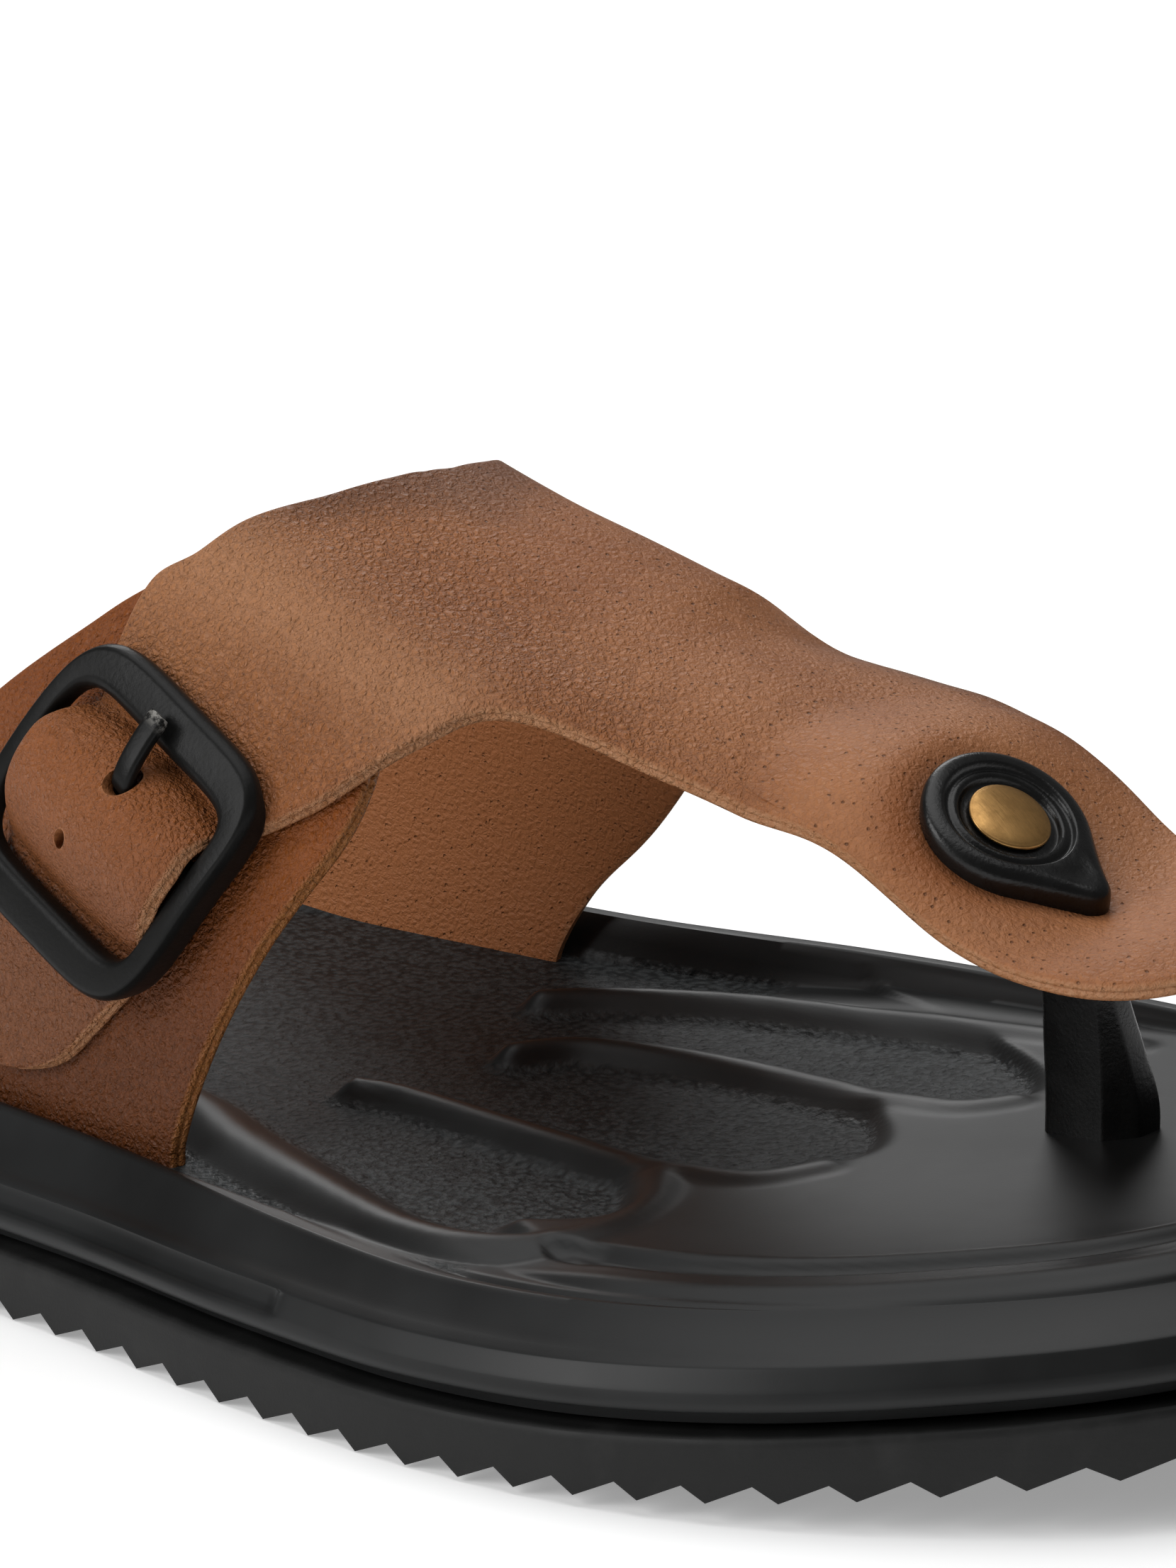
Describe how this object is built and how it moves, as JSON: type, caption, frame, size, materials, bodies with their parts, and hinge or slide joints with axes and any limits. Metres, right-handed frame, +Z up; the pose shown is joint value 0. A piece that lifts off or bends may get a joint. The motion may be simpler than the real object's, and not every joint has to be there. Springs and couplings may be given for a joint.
{
  "type": "leather thong slipper",
  "caption": "Right leather thong slipper: tan T-shaped upper over a moulded black footbed with ridges, saw-tooth outsole, toe post with cap and rivet, and a buckled side strap.",
  "frame": {"origin": "on the floor under the middle of the shoe's length and breadth", "axes": "+X towards the toe, +Y towards the medial side, +Z up"},
  "size_m": [0.288, 0.1086, 0.0791],
  "materials": {
    "outsole_rubber": "matt moulded rubber",
    "footbed_foam": "satin moulded foam, fine grain in the recesses",
    "tan_leather": "pebbled oiled leather with raw cut edges",
    "black_metal": "satin black",
    "black_plastic": "satin black",
    "antique_brass": "brushed antique brass"
  },
  "bodies": {
    "root": {"outsole": "outsole_rubber", "footbed": "footbed_foam", "upper": "tan_leather", "side_strap": "tan_leather", "buckle_frame": "black_metal", "buckle_prong": "black_metal", "toe_post": "black_plastic", "post_cap": "black_plastic", "rivet": "antique_brass"}
  },
  "joints": []
}
